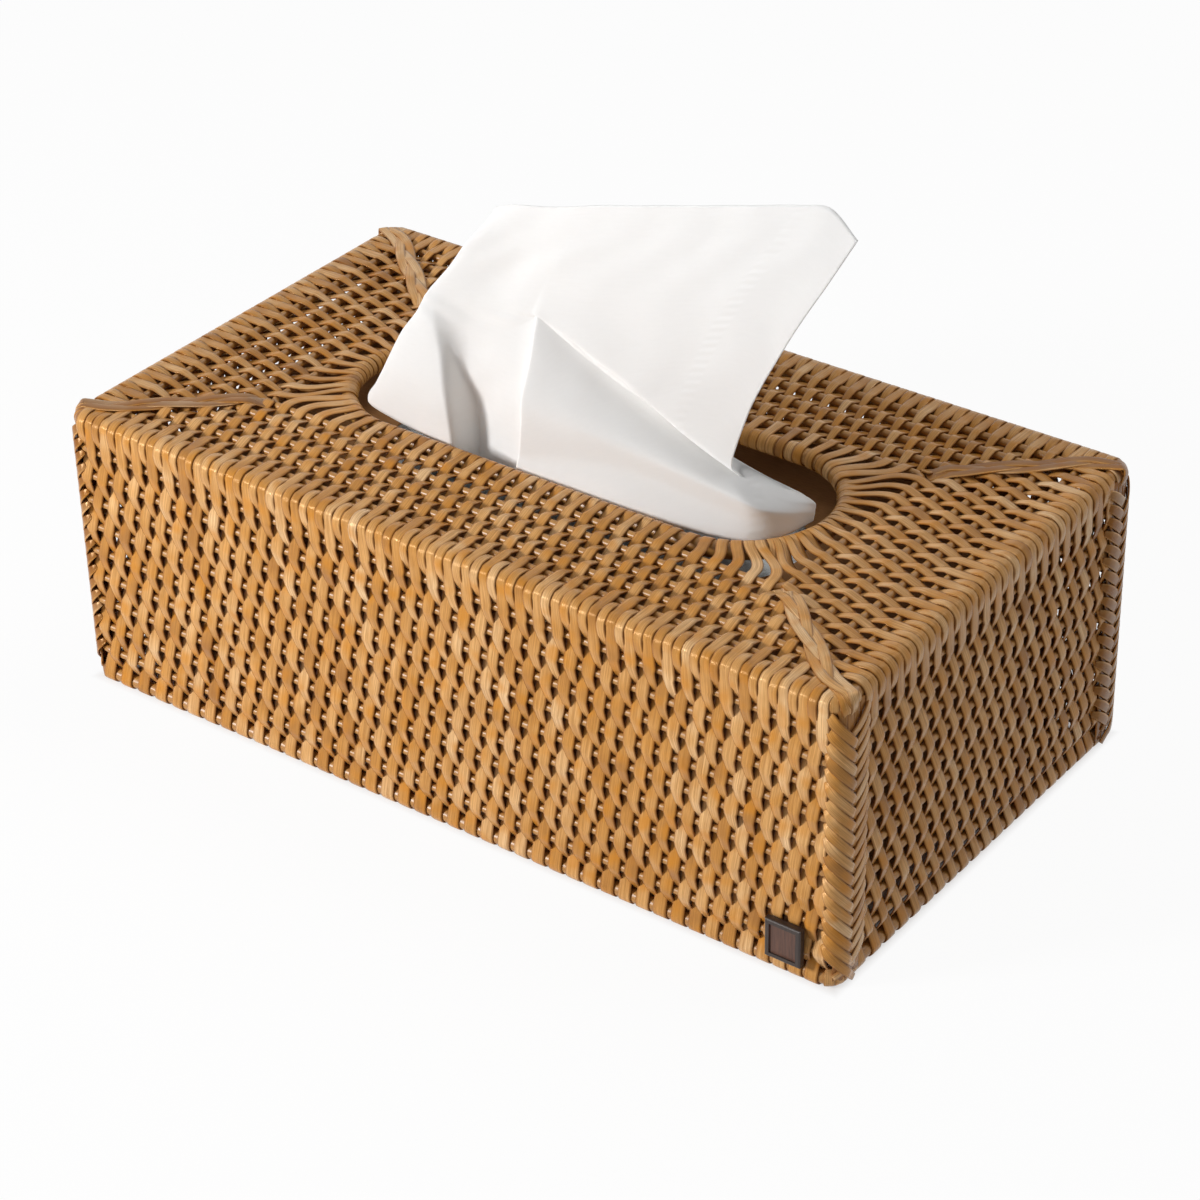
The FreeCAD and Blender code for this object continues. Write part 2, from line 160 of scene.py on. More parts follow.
def ring_piece(name, rings, material, body):
    """Rings [run, step, corner] joined into closed runs with flat ends, as one piece that rides on a
    body."""
    runs, steps, corners, _ = rings.shape
    index = np.arange(runs * steps * corners).reshape(runs, steps, corners)
    near, far = index[:, :-1], index[:, 1:]
    walls = np.stack([near, np.roll(near, -1, 2), np.roll(far, -1, 2), far], axis=-1).reshape(-1, 4)
    ends = np.concatenate([index[:, 0, ::-1], index[:, -1]])
    mesh = bpy.data.meshes.new(name)
    mesh.from_pydata(rings.reshape(-1, 3).tolist(), [], walls.tolist() + ends.tolist())
    mesh.shade_smooth()
    mesh.materials.append(material)
    piece = bpy.data.objects.new(name, mesh)
    bpy.context.scene.collection.objects.link(piece)
    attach(piece, body)
    return piece


def folded_stack(low, high, random):
    """Outline carried along X. Its half width at a height is the stack's, less a quarter round at top and
    bottom, less a groove between folds that is one minus the sine of the place within the fold, less a
    wander of each fold."""
    _, width, height = high - low
    folds = round(height / FOLD_HEIGHT)
    share = np.linspace(0, 1, folds * FOLD_POINTS + 1)
    to_end = np.minimum(share, 1 - share) * height
    missing = np.maximum(STACK_EDGE_ROUND - to_end, 0)
    rounding = STACK_EDGE_ROUND - np.sqrt(STACK_EDGE_ROUND ** 2 - missing ** 2)
    groove = FOLD_DEPTH * (1 - np.abs(np.sin(np.pi * share * folds)))
    fold_of = np.minimum((share * folds).astype(int), folds - 1)
    wander = np.abs(random.normal(0, FOLD_WANDER, (2, STACK_STEPS, folds)))[:, :, fold_of]
    half = width / 2 - rounding - groove - wander
    z = np.broadcast_to(low[2] + share * height, (STACK_STEPS, len(share)))
    y = np.concatenate([half[0], -half[1, :, ::-1]], axis=1)
    z = np.concatenate([z, z[:, ::-1]], axis=1)
    x = np.broadcast_to(np.linspace(low[0], high[0], STACK_STEPS)[:, None], y.shape)
    return np.stack([x, y, z], axis=-1)[None]


def facial_tissue():
    """Creped tissue paper: matt soft white, with faint crepe ridges about 0.9 mm apart across the sheet."""
    crepe_sizes = (5 * MM, 5 * MM, 0.9 * MM)
    material, tree, shader = new_material("facial_tissue_paper")
    place = add_node(tree, "ShaderNodeTexCoord").outputs["Object"]
    crepe = streaks(tree, place, crepe_sizes, 3.0)
    colour = mixed(tree, crepe, srgb("#F2F0EC"), srgb("#FAF9F6"))
    tree.links.new(colour, shader.inputs["Base Color"])
    emboss(tree, shader, crepe, 0.15, 0.1 * MM)
    shader.inputs["Roughness"].default_value = 0.95
    shader.inputs["Specular IOR Level"].default_value = 0.2
    return material


random = np.random.default_rng(7)
stack_low, stack_high = (np.array(corner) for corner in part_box("tissue_stack"))
stack_rings = folded_stack(stack_low, stack_high, random)
stack = ring_piece("tissue_folds", stack_rings, facial_tissue(), "tissue_pack")
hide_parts("tissue_stack")


# Hoops
# Peeled rattan rods, each bent into a closed hoop: one at the table, nine up the walls, one at the top
# edge, five in the top and one round the opening. The strips are woven over and under them.

ROD_NAMES = (["base_rod"] + [f"wall_rod_{n}" for n in range(1, 10)] + ["edge_rod"]
             + [f"top_rod_{n}" for n in range(1, 6)] + ["rim_rod"])


def peeled_rod():
    """Varnished rattan core: straw brown with darker pores drawn out along the rod, which always lies
    level."""
    pore_sizes = (14 * MM, 14 * MM, 0.5 * MM)
    material, tree, shader = new_material("peeled_rattan_rod")
    place = add_node(tree, "ShaderNodeTexCoord").outputs["Object"]
    pores = streaks(tree, place, pore_sizes, 3.0)
    colour = mixed(tree, pores, srgb("#8E5A28"), srgb("#CC9850"))
    tree.links.new(colour, shader.inputs["Base Color"])
    emboss(tree, shader, pores, 0.35, 0.12 * MM)
    shader.inputs["Roughness"].default_value = 0.34
    shader.inputs["IOR"].default_value = 1.5
    return material


rod_finish = peeled_rod()
for rod_name in ROD_NAMES:
    dress(rod_name, rod_finish)


# Woven sides
# Split rattan strips, each one piece from the table to the opening: up the wall over and under the hoops,
# over the edge hoop, across the top, and rolled over the opening's hoop. Neighbours take turns at the hoops.
# Round the ends of the opening they close up into a fan.

# Widths of a strip over a hoop, at the head and tail of a leaf, under a hoop, at the edge and at its ends, and
# the shares by which walls and top are narrower
STRIP_THICKNESS = 0.5 * MM
STRIP_PITCH = 2.93 * MM
STRIP_LIFT = 0.06 * MM
OVER_WIDTH = 4.3 * MM
HEAD_WIDTH = 4.1 * MM
TAIL_WIDTH = 3.0 * MM
UNDER_WIDTH = 2.4 * MM
EDGE_WIDTH = 2.93 * MM
TAIL_LIFT = 0.62 * MM
HEAD_DIP = 0.08 * MM
WALL_NARROWING = {"front": 0.0, "right": 0.13, "back": 0.0, "left": 0.13}
TOP_NARROWING = 0.17
EDGE_TAIL_SHARE = 2.0
BASE_WIDTH = 4.6 * MM
SIDE_FAN_WIDTH = 3.4 * MM
END_FAN_WIDTH = 1.9 * MM
CORNER_RADIUS = 6.6 * MM
STRIPS_PAST_FLAT = {"front": 2.6 * MM, "right": -4.5 * MM, "back": 2.6 * MM, "left": -4.5 * MM}
WALL_LEAN = {"front": 0.073, "right": 0.058, "back": 0.073, "left": 0.058}
STRIP_STEPS = 138
STRIP_WANDER = 0.12 * MM
WANDER_KNOTS = 8
WIDTH_SPREAD = 0.04
TONE = 0.53
TONE_SPREAD = 0.14
ARC_POINTS = 9
FAN_POINTS = 24
FAN_HANDLE = 0.4
FAN_RUN_ON = 8 * MM
# Shares of the step from hoop to hoop: what the turn at a hoop takes up, and where a strip is past the edge
ARC_SHARE = 0.5
PAST_EDGE = 0.3
# Headings of a strip at its ends, where it is rolled round the base hoop and round the opening's hoop
BASE_HEADING = math.radians(250)
RIM_HEADING = math.radians(-170)
# Corners of a strip's section: shares of half its width, and of its thickness from its middle
SECTION_ACROSS = np.array([-1.0, -0.93, -0.6, 0.6, 0.93, 1.0, 0.9, -0.9])
SECTION_LIFT = np.array([0.0, 0.36, 0.5, 0.5, 0.36, 0.0, -0.5, -0.5])


def unit(vectors):
    """Vectors scaled to length 1."""
    return vectors / np.linalg.norm(vectors, axis=-1, keepdims=True)


def ribbon(centre, outward, width, thickness):
    """A strip's section carried along its centre line: corners lie at shares of its width along tangent x
    outward, and at shares of its thickness along the outward direction made square to the line."""
    tangent = unit(np.gradient(centre, axis=-2))
    side = unit(np.cross(tangent, outward))
    lift = np.cross(side, tangent)
    across = SECTION_ACROSS * np.asarray(width)[..., None] / 2
    rise = SECTION_LIFT * thickness
    return centre[..., None, :] + across[..., None] * side[..., None, :] + rise[:, None] * lift[..., None, :]


def strip_piece(name, rings, tone, material, *nodes):
    """Strips as one piece on the cover that stands for some nodes. Two attributes go with them: fibre,
    which is the place across and along the strip in metres and a number of its own, and tone, how light it
    is."""
    piece = ring_piece(name, rings, material, "cover")
    strips, steps, corners, _ = rings.shape
    step_length = np.linalg.norm(np.diff(rings.mean(axis=2), axis=1), axis=-1)
    fibre = np.zeros((strips, steps, corners, 3), np.float32)
    fibre[..., 0] = SECTION_ACROSS * OVER_WIDTH / 2
    fibre[:, 1:, :, 1] = np.cumsum(step_length, axis=1)[..., None]
    fibre[..., 2] = np.arange(strips)[:, None, None]
    tones = np.broadcast_to(np.asarray(tone, np.float32)[:, None, None], (strips, steps, corners))
    piece.data.attributes.new("fibre", "FLOAT_VECTOR", "POINT").data.foreach_set("vector", fibre.ravel())
    piece.data.attributes.new("tone", "FLOAT", "POINT").data.foreach_set("value", tones.ravel())
    if nodes:
        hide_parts(*nodes)
    return piece


def maths(tree, operation, *values):
    """The result of a sum on plain values or other nodes' outputs."""
    return add_node(tree, "ShaderNodeMath", dict(enumerate(values)), operation=operation).outputs[0]


def carried(tree, value, low, high, first=0.0, last=1.0):
    """A value carried from the range low to high onto the range first to last, and held at its ends."""
    return add_node(tree, "ShaderNodeMapRange", {
        "Value": value, "From Min": low, "From Max": high, "To Min": first, "To Max": last}).outputs[0]


def split_rattan():
    """Varnished split rattan: honey brown, each strip of its own shade, with fine fibres along it, amber
    where the varnish pooled, darker towards both edges as painted shade between neighbouring strips, and a wet
    amber gloss on every crest."""
    # Patch sizes across a strip, along it, and in strip numbers, so that no two strips are alike
    fibre_sizes = (0.3 * MM, 11 * MM, 1 / 7.3)
    patch_sizes = (13 * MM, 13 * MM, 1 / 3.1)
    pool_sizes = (7 * MM, 7 * MM, 1 / 5.7)
    patch_contrast = 1.1
    half_width = OVER_WIDTH / 2
    edge_shade_start = 0.66 * half_width
    material, tree, shader = new_material("split_rattan_strip")
    place = add_node(tree, "ShaderNodeAttribute", attribute_name="fibre").outputs["Vector"]
    tone = add_node(tree, "ShaderNodeAttribute", attribute_name="tone").outputs["Fac"]
    fibres = streaks(tree, place, fibre_sizes, 3.0)
    patches = streaks(tree, place, patch_sizes, 2.0)
    pools = streaks(tree, place, pool_sizes, 1.0)
    drift = maths(tree, "MULTIPLY_ADD", patches, patch_contrast, -patch_contrast / 2)
    ramp = add_node(tree, "ShaderNodeValToRGB", {"Fac": maths(tree, "ADD", tone, drift)})
    ramp.color_ramp.elements[0].color = srgb("#A06F42")
    ramp.color_ramp.elements[1].color = srgb("#FAD4A2")
    for stop, hex_code in ((0.18, "#BA8347"), (0.4, "#D29750"), (0.7, "#E8B577")):
        ramp.color_ramp.elements.new(stop).color = srgb(hex_code)
    streak = carried(tree, fibres, 0.3, 0.7, 0.0, 0.68)
    fine = mixed(tree, streak, ramp.outputs["Color"], srgb("#96622C"))
    amber = carried(tree, pools, 0.52, 0.72, 0.0, 0.65)
    warm = mixed(tree, amber, fine, srgb("#CC8425"))
    across = add_node(tree, "ShaderNodeSeparateXYZ", {0: place}).outputs["X"]
    # Painted shade: each strip turns dark brown towards both edges, standing in for the shadow between
    # neighbouring strips.
    edge_shade = carried(tree, maths(tree, "ABSOLUTE", across), edge_shade_start, half_width, 0.0, 0.75)
    colour = mixed(tree, edge_shade, warm, srgb("#733F12"))
    gloss = carried(tree, fibres, 0.3, 0.7, 0.13, 0.3)
    tree.links.new(colour, shader.inputs["Base Color"])
    tree.links.new(gloss, shader.inputs["Roughness"])
    emboss(tree, shader, fibres, 0.5, 0.16 * MM)
    shader.inputs["IOR"].default_value = 1.5
    shader.inputs["Specular IOR Level"].default_value = 0.32
    shader.inputs["Specular Tint"].default_value = srgb("#FFCF94")
    return material


def hoop_places(side):
    """Depth from a side's outer face, height and radius of each hoop, from the table to the opening."""
    axis = 1 if side in ("front", "back") else 0
    outer_face = max(abs(corner[axis]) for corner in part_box(f"{side}_wall_weave"))
    places = []
    for name in ROD_NAMES:
        low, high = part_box(name)
        radius = (high.z - low.z) / 2
        places.append((outer_face - (high[axis] - radius), (high.z + low.z) / 2, radius))
    return np.array(places), outer_face


def belt_path(rods, signs, first_heading, last_heading):
    """Centre line of a strip in the plane across the weave, as depth and height, with the hoop number along
    it. Over a hoop (sign 1) or under it (sign -1) the strip follows a circle whose radius is the hoop's
    plus half the strip. Between hoops it is straight: the line turns from the line of centres by asin of
    the difference of the signed radii over the distance between the centres."""
    reach = (rods[:, 2] + STRIP_THICKNESS / 2 + STRIP_LIFT) * signs
    step = np.diff(rods[:, :2], axis=0)
    turn = np.arcsin(np.diff(reach) / np.linalg.norm(step, axis=1))
    heading = np.concatenate([[first_heading], np.arctan2(step[:, 1], step[:, 0]) + turn, [last_heading]])
    share = np.linspace(0, 1, ARC_POINTS)
    angles = heading[:-1, None] + np.diff(heading)[:, None] * share
    points = rods[:, None, :2] + reach[:, None, None] * np.stack([-np.sin(angles), np.cos(angles)], axis=-1)
    number = np.arange(len(rods))[:, None] + (share - 0.5) * ARC_SHARE
    return points.reshape(-1, 2), number.ravel()


def resample(values, distance, wanted):
    """Rows of values, known at distances along a line, read off at the wanted distances."""
    return np.stack([np.interp(wanted, distance, column) for column in values.T], axis=-1)


def line_distance(points):
    """Distance along a line of points, from its start."""
    return np.concatenate([[0.0], np.cumsum(np.linalg.norm(np.diff(points, axis=0), axis=1))])


def turned(points, quarter_turns):
    """Points turned about the upright axis by quarter turns."""
    x, y, z = np.moveaxis(points, -1, 0)
    for _ in range(quarter_turns):
        x, y = -y, x
    return np.stack([x, y, z], axis=-1)


EDGE_NUMBER = ROD_NAMES.index("edge_rod")
RIM_NUMBER = ROD_NAMES.index("rim_rod")
LAST_HOOP = RIM_NUMBER - 1
front_rods, front_face = hoop_places("front")
right_rods, right_face = hoop_places("right")
rim_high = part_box("rim_rod")[1]
rim_bend = rim_high.y - front_rods[RIM_NUMBER, 2]
rim_straight = rim_high.x - front_rods[RIM_NUMBER, 2] - rim_bend


def hoop_signs(parity):
    """Over (1) or under (-1) for each hoop: turn about, and always over the edge and the opening's hoop."""
    signs = np.where((np.arange(len(ROD_NAMES)) + parity) % 2 == 0, 1.0, -1.0)
    signs[[EDGE_NUMBER, RIM_NUMBER]] = 1.0
    return signs


def leaf_ends(signs):
    """For each step from hoop to hoop: 1 where it is the tail of a leaf, which points away from the edge
    hoop, -1 where it is a leaf's head, and 0 where the strip stays over both hoops."""
    past_edge = np.where(np.arange(RIM_NUMBER) < EDGE_NUMBER, -1, 1)
    return past_edge * (signs[:-1] - signs[1:]) / 2


def strip_widths(signs, rim_width):
    """Widths of a strip at every hoop and half way between hoops: full over a hoop and at a leaf's head,
    narrower towards its tail, drawn in under a hoop, even at the edge, and widest round the base hoop."""
    widths = np.zeros(2 * len(ROD_NAMES) - 1)
    widths[0::2] = np.where(signs > 0, OVER_WIDTH, UNDER_WIDTH)
    widths[1::2] = np.where(leaf_ends(signs) > 0, TAIL_WIDTH, HEAD_WIDTH)
    widths[2 * EDGE_NUMBER] = EDGE_WIDTH
    widths[0] = BASE_WIDTH if signs[0] > 0 else UNDER_WIDTH
    widths[-2] = (TAIL_WIDTH + rim_width) / 2
    widths[-1] = rim_width
    return widths


def fan_plan(start, end, way_in):
    """Line in plan from the last hoop to the opening's hoop: a cubic curve that leaves square to the side
    and arrives along way_in, and then runs straight on."""
    share = np.linspace(0, 1, FAN_POINTS)[:, None]
    handle = FAN_HANDLE * np.linalg.norm(end - start)
    first = start + np.array([0, handle])
    last = end - way_in * handle
    curve = ((1 - share) ** 3 * start + 3 * (1 - share) ** 2 * share * first
             + 3 * (1 - share) * share ** 2 * last + share ** 3 * end)
    return np.concatenate([curve, [end + way_in * FAN_RUN_ON]])


def woven_side(side, quarter_turns, random):
    """All strips of one side as rings. A strip's place along the side is its own, plus a lean that fades
    towards the corners by the fourth power, plus a slow wander. Past the flat of the wall it stands back by
    the corner's round. Half way from hoop to hoop a tail lies out over its neighbours and a head lies in
    under them, by the square of a sine. Past the last hoop the strip follows its line in plan to the
    opening."""
    rods, outer_face = hoop_places(side)
    long_side = side in ("front", "back")
    other_rods, other_face = (right_rods, right_face) if long_side else (front_rods, front_face)
    flat_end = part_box(f"{side}_wall_weave")[1][0 if long_side else 1]
    half_span = flat_end + STRIPS_PAST_FLAT[side]
    count = round(2 * half_span / STRIP_PITCH)
    pitch = 2 * half_span / count
    last_depth = rods[LAST_HOOP, 0]
    mitre_start = other_face - other_rods[EDGE_NUMBER, 0]
    hoop_end = other_face - other_rods[LAST_HOOP, 0]
    mitre_slope = (last_depth - rods[EDGE_NUMBER, 0]) / (mitre_start - hoop_end)
    fan_start = rim_straight if long_side else 0.0
    fan_depth = outer_face if long_side else outer_face - rim_straight
    fan_width = SIDE_FAN_WIDTH if long_side else END_FAN_WIDTH
    rings = []
    for strip in range(count):
        own_place = -half_span + (strip + 0.5) * pitch
        parity = strip % 2
        signs = hoop_signs(parity)
        in_fan = abs(own_place) - fan_start
        to_rim = in_fan < 0 or (abs(own_place) < hoop_end - pitch / 2 and (parity == 1 or not long_side))
        angle = math.copysign(math.atan2(max(in_fan, 0), fan_depth - last_depth), own_place)
        way_in = np.array([-math.sin(angle), math.cos(angle)])
        fan_middle = np.array([own_place if in_fan < 0 else math.copysign(fan_start, own_place), fan_depth])
        plan = fan_plan(np.array([own_place, last_depth]), fan_middle - rim_bend * way_in, way_in)
        plan_run = line_distance(plan)
        used_rods = rods.copy()
        used_rods[RIM_NUMBER, 0] = last_depth + plan_run[-2]
        used = RIM_NUMBER + 1 if to_rim else RIM_NUMBER
        first_heading = BASE_HEADING if signs[0] > 0 else 0.0
        last_heading = RIM_HEADING if to_rim else 0.0
        line, number = belt_path(used_rods[:used], signs[:used], first_heading, last_heading)
        distance = line_distance(line)
        length = distance[-1]
        mitre_depth = rods[EDGE_NUMBER, 0] + (mitre_start - abs(own_place)) * mitre_slope
        if mitre_depth < last_depth:
            on_top = number > EDGE_NUMBER + PAST_EDGE
            length = np.interp(mitre_depth, line[on_top, 0], distance[on_top])
        wanted = np.linspace(0, length, STRIP_STEPS)
        line = resample(line, distance, wanted)
        number = np.interp(wanted, distance, number)
        slope = unit(np.gradient(line, axis=0))
        run = line[:, 0] - last_depth
        past_hoop = run > 0
        plan_way = unit(resample(np.gradient(plan, plan_run, axis=0), plan_run, run))
        plan_way[~past_hoop] = (0, 1)
        along, depth = resample(plan, plan_run, run).T
        along[~past_hoop] = own_place
        depth[~past_hoop] = line[~past_hoop, 0]
        past_flat = max(abs(own_place) - flat_end, 0)
        stand_back = CORNER_RADIUS - math.sqrt(CORNER_RADIUS ** 2 - past_flat ** 2)
        fade = 1 - (own_place / half_span) ** 4
        drop = np.maximum(rods[EDGE_NUMBER, 1] - line[:, 1], 0) * (number < EDGE_NUMBER)
        knots = np.linspace(0, length, WANDER_KNOTS)
        wander = np.interp(wanted, knots, random.normal(0, STRIP_WANDER, WANDER_KNOTS))
        centre = np.stack([along + WALL_LEAN[side] * fade * drop + wander, depth + stand_back - outer_face,
                           line[:, 1]], axis=-1)
        outward = np.concatenate([-slope[:, 1:] * plan_way, slope[:, :1]], axis=-1)
        hoop_below = np.minimum(number.astype(int), RIM_NUMBER - 1)
        half_way = np.sin(math.pi * (number - hoop_below)) ** 2
        ends = leaf_ends(signs)[hoop_below]
        ends = np.where(abs(number - EDGE_NUMBER) < 1, EDGE_TAIL_SHARE, 1) * ends
        centre += (np.where(ends > 0, TAIL_LIFT, HEAD_DIP) * ends * half_way)[:, None] * outward
        widths = strip_widths(signs, EDGE_WIDTH if in_fan < 0 else fan_width)
        width = np.interp(2 * number, np.arange(len(widths)), widths) * random.normal(1, WIDTH_SPREAD)
        on_wall = np.interp(number, [EDGE_NUMBER - 1, EDGE_NUMBER], [1, 0])
        width *= 1 - WALL_NARROWING[side] * fade * on_wall
        top_hoops = [EDGE_NUMBER, EDGE_NUMBER + 0.7, LAST_HOOP, LAST_HOOP + 0.6]
        width *= 1 - TOP_NARROWING * np.interp(number, top_hoops, [0, 1, 1, 0])
        rings.append(ribbon(centre, outward, width, STRIP_THICKNESS))
    rings = turned(np.array(rings), quarter_turns)
    rings[..., 2] = np.maximum(rings[..., 2], 0)
    return rings


strip_finish = split_rattan()
for quarter_turns, side in enumerate(("front", "right", "back", "left")):
    rings = woven_side(side, quarter_turns, random)
    tone = np.clip(random.normal(TONE, TONE_SPREAD, len(rings)), 0, 1)
    nodes = [f"{side}_wall_weave", f"{side}_top_weave"]
    if side in ("right", "left"):
        nodes.append(f"rim_wrap_{side}")
    strip_piece(f"{side}_strips", rings, tone, strip_finish, *nodes)


# Corner lacing
# Short split strands plaited up each corner over upright strips: at every hoop and half way between hoops one
# comes down from the long side, and one from the end wall goes under it. Turns of strip are wound round the
# bends of the base hoop and the edge hoop, and three strands are plaited over the edge and along the mitre.

CORNERS = {"front_right": (1, 1), "back_left": (-1, -1), "front_left": (-1, 1), "back_right": (1, -1)}
CORNER_TONE_SPREAD = 0.15
# Points of a strand from end to end: aside from the corner's middle, out from the wall's face, above its row
LONG_SIDE_STRAND = MM * np.array([
    (-3.2, -1.6, 3.0), (-2.0, -0.3, 1.9), (-0.9, 0.4, 0.4), (1.4, 0.5, -2.6),
    (4.2, 0.4, -6.2), (5.8, 0.0, -8.0), (7.6, -0.3, -10.0)])
LONG_SIDE_STRAND_WIDTHS = MM * np.array([1.6, 2.8, 3.2, 2.8, 2.6, 2.4, 2.0])
END_STRAND = MM * np.array([
    (12.6, -1.2, 2.4), (10.8, 0.1, 1.2), (8.4, 0.4, -0.8), (6.4, 0.3, -2.6),
    (4.0, -0.25, -4.6), (0.0, -0.3, -7.0)])
END_STRAND_WIDTHS = MM * np.array([1.6, 2.6, 2.9, 2.8, 2.6, 2.0])
CORE_PLACES = MM * np.array([1.3, 3.9, 6.5, 9.1])
CORE_WIDTH = 2.7 * MM
CORE_DEPTH = 0.72 * MM
PLAIT_STEPS = 30
EDGE_TURN_PLACES = MM * np.array([-1.2, 1.6, 4.4, 7.2])
EDGE_TURN_WIDTH = 2.75 * MM
BASE_TURN_PLACES = MM * np.array([-0.8, 2.4, 5.6, 8.8])
BASE_TURN_WIDTH = 3.2 * MM
TURN_STEPS = 40
ROPE_STRANDS = 3
ROPE_FOOT = 81 * MM
ROPE_SHIFT = 5 * MM
ROPE_HALF_WIDTH = 1.8 * MM
ROPE_STRAND = 3.0 * MM
ROPE_TURN = 58 * MM
ROPE_OVER = 0.22 * MM
ROPE_TUCK = 1.2 * MM
ROPE_DIP = 1.6 * MM
ROPE_DIP_LENGTH = 7 * MM
ROPE_STEPS = 220
KNOB_LIFT = 0.6 * MM


def eased(value, start, end):
    """0 before start and 1 after end, with the cubic 3 t t - 2 t t t between."""
    share = np.clip((value - start) / (end - start), 0, 1)
    return share * share * (3 - 2 * share)


def smooth_through(points, count):
    """Cubic curves through rows of points, read at evenly spaced row numbers. The slope at a row is the
    harmonic mean of the steps on both sides where they go the same way, and 0 at a turn, so the curve never
    swings past a row."""
    steps = np.diff(points, axis=0)
    same_way = steps[:-1] * steps[1:] > 0
    sums = np.where(same_way, steps[:-1] + steps[1:], 1)
    inner = np.where(same_way, 2 * steps[:-1] * steps[1:] / sums, 0)
    slopes = np.concatenate([steps[:1], inner, steps[-1:]])
    wanted = np.linspace(0, len(points) - 1, count)
    row = np.minimum(wanted.astype(int), len(points) - 2)
    t = (wanted - row).reshape(-1, *[1] * (points.ndim - 1))
    return (points[row] * (1 + 2 * t) * (1 - t) ** 2 + slopes[row] * t * (1 - t) ** 2
            + points[row + 1] * t ** 2 * (3 - 2 * t) + slopes[row + 1] * t ** 2 * (t - 1))


def corner_at(end_depth, side_depth):
    """Plan of the front right corner of a line that runs round the cover, at its depths from the outer
    faces."""
    return np.array([right_face - end_depth, -(front_face - side_depth)])


corner_middle = corner_at(CORNER_RADIUS, CORNER_RADIUS)
edge_corner = corner_at(right_rods[EDGE_NUMBER, 0], front_rods[EDGE_NUMBER, 0])
hoop_corner = corner_at(right_rods[LAST_HOOP, 0], front_rods[LAST_HOOP, 0])


def round_corner(aside, out):
    """Plan and outward way of points at a distance aside from the middle of the front right corner,
    measured round its arc and on along the flat walls, and at a distance out from the walls' face."""
    arc = np.clip(aside / CORNER_RADIUS, -math.pi / 4, math.pi / 4)
    rest = (aside - arc * CORNER_RADIUS)[..., None]
    way = np.stack([np.cos(arc - math.pi / 4), np.sin(arc - math.pi / 4)], axis=-1)
    flat = np.where(rest > 0, (0.0, 1.0), (1.0, 0.0)) * rest
    return corner_middle + (CORNER_RADIUS + out)[..., None] * way + flat, way


def plait_strands(points, widths, heights):
    """One strand at each height: a smooth line through the strand's points, laid round the corner."""
    aside, out, rise = smooth_through(points, PLAIT_STEPS).T
    plan, way = round_corner(aside, out)
    height = heights[:, None] + rise
    centre = np.concatenate([np.broadcast_to(plan, (*height.shape, 2)), height[..., None]], axis=-1)
    outward = np.concatenate([way, np.zeros((PLAIT_STEPS, 1))], axis=-1)
    return ribbon(centre, outward, smooth_through(widths, PLAIT_STEPS), STRIP_THICKNESS)


def core_strands():
    """Upright strips side by side round the corner, under the plait, from the base hoop to the edge
    hoop."""
    heights = np.linspace(front_rods[0, 1], front_rods[EDGE_NUMBER, 1], PLAIT_STEPS)
    height, aside = np.meshgrid(heights, CORE_PLACES)
    plan, way = round_corner(aside, np.full(aside.shape, -CORE_DEPTH))
    centre = np.concatenate([plan, height[..., None]], axis=-1)
    outward = np.concatenate([way, np.zeros((*aside.shape, 1))], axis=-1)
    return ribbon(centre, outward, np.full(PLAIT_STEPS, CORE_WIDTH), STRIP_THICKNESS)


def rope_strands():
    """Strands of the mitre. Their line climbs the corner from the plait, turns a quarter circle about the
    edge hoop and runs in along the mitre, where it dips under the fan. A strand lies aside by its half
    width times the sine of its turn and above by the sine of twice the turn, so it is over on its way out
    and under on its way back."""
    knob_reach = CORNER_RADIUS - front_rods[EDGE_NUMBER, 0]
    knob_height = front_rods[EDGE_NUMBER, 1]
    knob_bend = front_rods[EDGE_NUMBER, 2] + KNOB_LIFT
    mitre_way = unit(edge_corner - hoop_corner)
    mitre_aside = np.array([-mitre_way[1], mitre_way[0]])
    wall_length = knob_height - ROPE_FOOT
    bend_length = knob_bend * math.pi / 2
    total = wall_length + bend_length + knob_reach - (hoop_corner - corner_middle) @ mitre_way
    run = np.linspace(0, total, ROPE_STEPS)
    bend = np.clip((run - wall_length) / knob_bend, 0, math.pi / 2)
    reach = knob_reach + knob_bend * np.cos(bend) - np.maximum(run - wall_length - bend_length, 0)
    height = ROPE_FOOT + np.minimum(run, wall_length) + knob_bend * np.sin(bend)
    height = height - ROPE_DIP * eased(run, total - ROPE_DIP_LENGTH, total)
    turn = 2 * math.pi * (run / ROPE_TURN + np.arange(ROPE_STRANDS)[:, None] / ROPE_STRANDS)
    shift = ROPE_SHIFT * (1 - eased(run, 0, wall_length + 3 * bend_length))
    aside = shift + ROPE_HALF_WIDTH * np.sin(turn)
    above = ROPE_OVER * np.sin(2 * turn) - ROPE_TUCK * (1 - eased(run, 0, wall_length))
    wall_plan, wall_way = round_corner(aside, reach - CORNER_RADIUS + above * np.cos(bend))
    top_plan = corner_middle + reach[:, None] * mitre_way + aside[..., None] * mitre_aside
    on_wall = (1 - bend / (math.pi / 2))[:, None]
    plan = on_wall * wall_plan + (1 - on_wall) * top_plan
    centre = np.concatenate([plan, (height + above * np.sin(bend))[..., None]], axis=-1)
    way = unit(on_wall * wall_way + (1 - on_wall) * mitre_way) * np.cos(bend)[:, None]
    outward = np.concatenate([way, np.broadcast_to(np.sin(bend), aside.shape)[..., None]], axis=-1)
    return ribbon(centre, outward, np.full(ROPE_STEPS, ROPE_STRAND), STRIP_THICKNESS)


